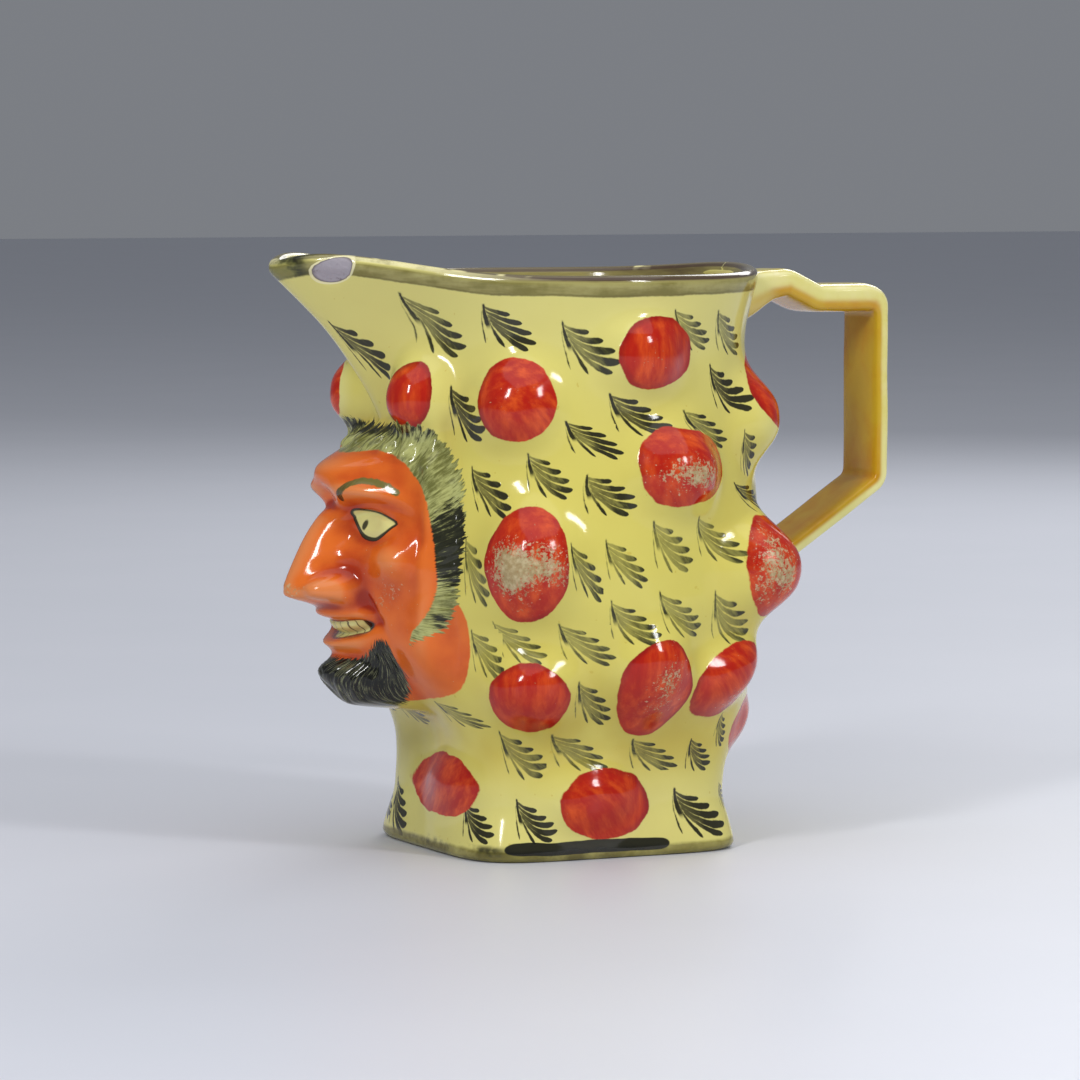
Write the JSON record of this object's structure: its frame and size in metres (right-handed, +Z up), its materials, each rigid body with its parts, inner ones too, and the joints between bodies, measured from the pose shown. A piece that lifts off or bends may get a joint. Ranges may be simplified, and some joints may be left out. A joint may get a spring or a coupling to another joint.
{
  "type": "mask jug",
  "caption": "Squat glazed earthenware jug with knobbed sides, a satyr mask under the spout and an angular strap handle.",
  "frame": {"origin": "middle of the flat underside of the foot", "axes": "+Z up, +X from the jug's axis towards the handle, so the spout and the mask face -X"},
  "size_m": [0.1503, 0.1024, 0.1342],
  "materials": {
    "yellow_glaze": "gloss"
  },
  "bodies": {
    "root": {"mask_jug": "yellow_glaze"}
  },
  "joints": []
}
